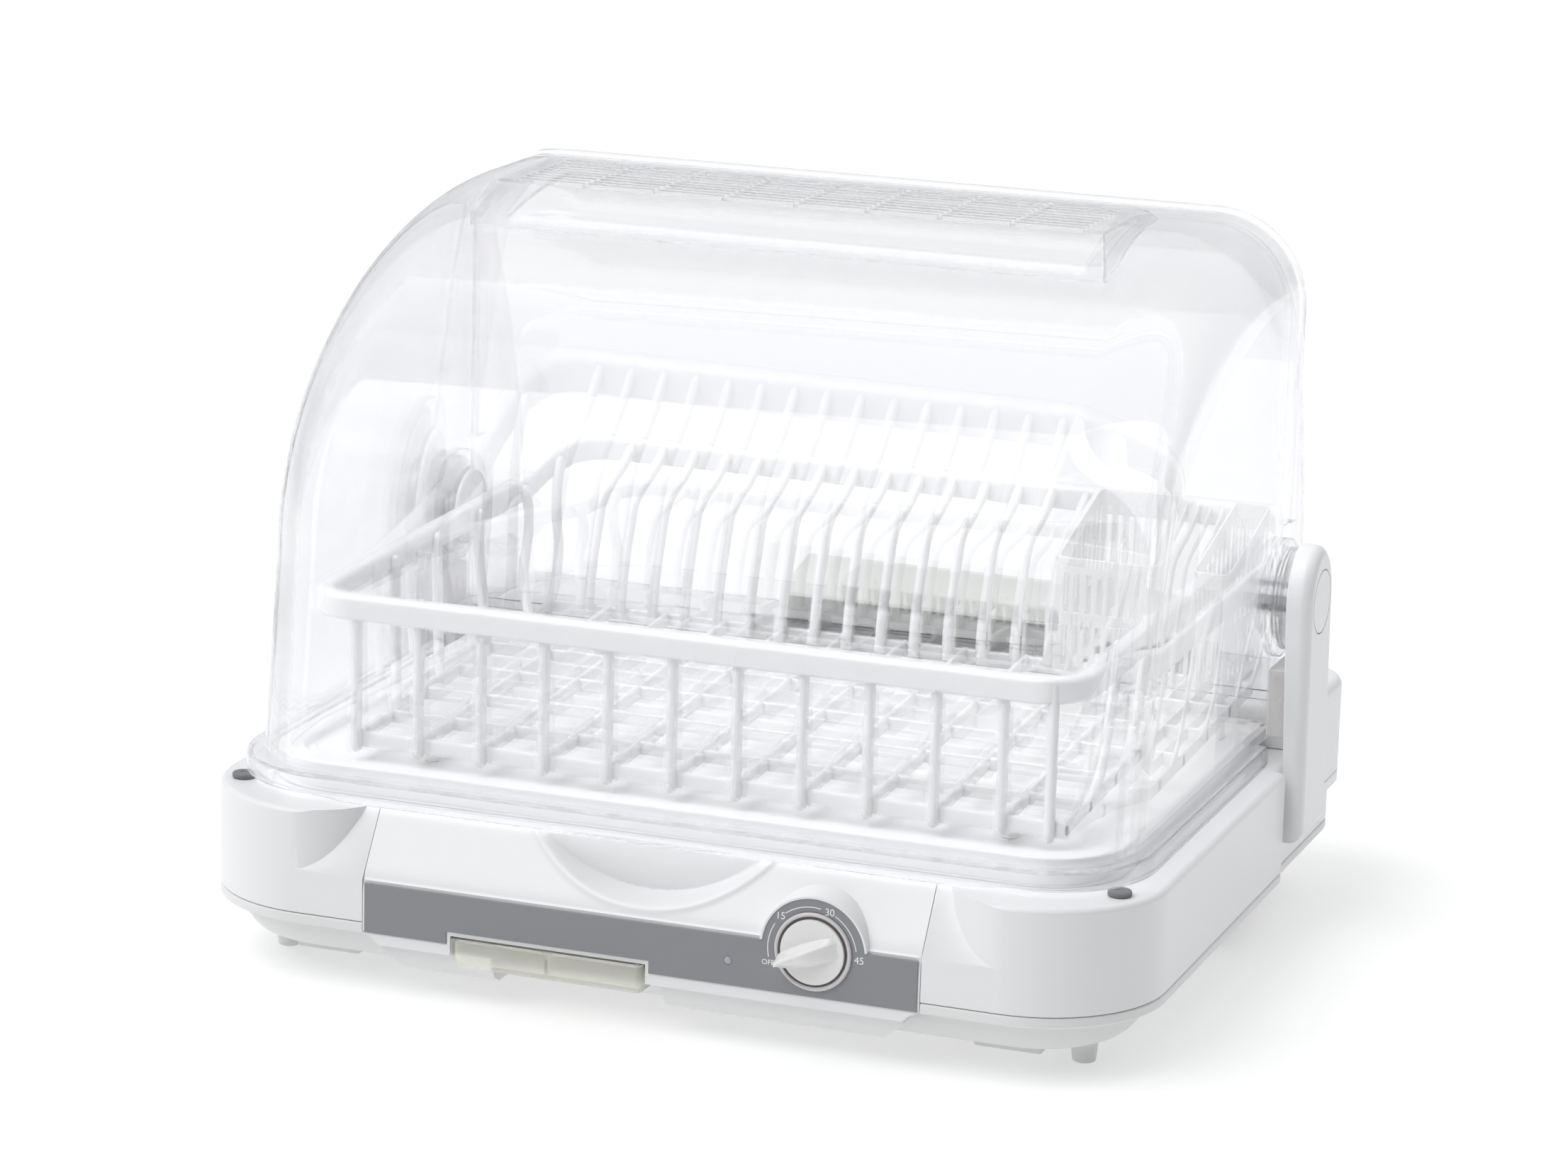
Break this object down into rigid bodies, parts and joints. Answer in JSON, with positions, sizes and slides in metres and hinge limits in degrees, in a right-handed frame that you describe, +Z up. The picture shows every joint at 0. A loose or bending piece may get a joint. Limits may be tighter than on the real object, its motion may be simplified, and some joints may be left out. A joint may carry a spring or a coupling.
{
  "type": "electric dish dryer",
  "caption": "Table-top electric dish dryer: a white base with a timer, a drain drawer and a warm-air fan, dish and cutlery baskets, and a clear hood that tilts up and back.",
  "frame": {"origin": "centre of the bounding box at the surface that the feet stand on", "axes": "+X to the dryer's right as seen from the front, +Y to its back, +Z up"},
  "size_m": [0.478, 0.4, 0.354],
  "materials": {
    "white": "satin",
    "inner_white": "matt",
    "basket_white": "satin",
    "milky": "translucent satin",
    "grey": "printed matt",
    "outlet": "matt",
    "rubber": "matt",
    "black": "matt",
    "tinted": "translucent",
    "steel": "brushed",
    "clear": "clear polished",
    "clear_yellow": "clear, slightly yellow"
  },
  "bodies": {
    "base": {"lower_pan": "white", "upper_housing": "white", "front_panel": "white", "rear_cover": "white", "foot_front_left": "white", "foot_rear_left": "white", "foot_front_right": "white", "foot_rear_right": "white", "pillar_left": "white", "pillar_right": "white", "pivot_cap_left": "white", "pivot_cap_right": "white", "hub_cap_left": "white", "hub_cap_right": "white", "drain_board": "inner_white", "air_duct": "inner_white", "terminal_block": "inner_white", "washer_left": "milky", "washer_right": "milky", "pilot_lamp": "milky", "control_band": "grey", "intake_filter": "grey", "outlet_grille": "outlet", "bumper_left": "rubber", "bumper_right": "rubber", "timer_body": "black", "thermostat": "black", "cord_gland": "black", "hinge_bracket_left": "tinted", "hinge_bracket_right": "tinted", "fan_motor": "steel", "heater": "steel", "pivot_pin_left": "steel", "pivot_pin_right": "steel", "rear_hood": "clear"},
    "hood": {"front_hood": "clear", "vent_grille": "clear"},
    "knob": {"timer_knob": "white", "timer_shaft": "steel"},
    "drawer": {"drain_drawer": "clear_yellow"},
    "fan": {"fan_wheel": "black"},
    "basket": {"dish_basket": "basket_white"},
    "cutlery": {"cutlery_basket": "milky"}
  },
  "joints": [
    {"name": "hood_tilt", "type": "hinge", "parent": "base", "child": "hood", "pos_m": [0, 0.0948, 0.1646], "axis": [-1, 0, 0], "range_deg": [0, 88]},
    {"name": "timer_turn", "type": "hinge", "parent": "base", "child": "knob", "pos_m": [0.0856, 0, 0.051], "axis": [0, 1, 0], "range_deg": [0, 205]},
    {"name": "drawer_slide", "type": "slide", "parent": "base", "child": "drawer", "axis": [0, -1, 0], "range_m": [0, 0.1]},
    {"name": "fan_spin", "type": "hinge", "parent": "base", "child": "fan", "pos_m": [0, 0.1595, 0.07], "axis": [1, 0, 0], "continuous": true},
    {"name": "basket_lift", "type": "slide", "parent": "base", "child": "basket", "axis": [0, 0, 1], "range_m": [0, 0.03]},
    {"name": "cutlery_lift", "type": "slide", "parent": "basket", "child": "cutlery", "axis": [0, 0, 1], "range_m": [0, 0.07]}
  ]
}
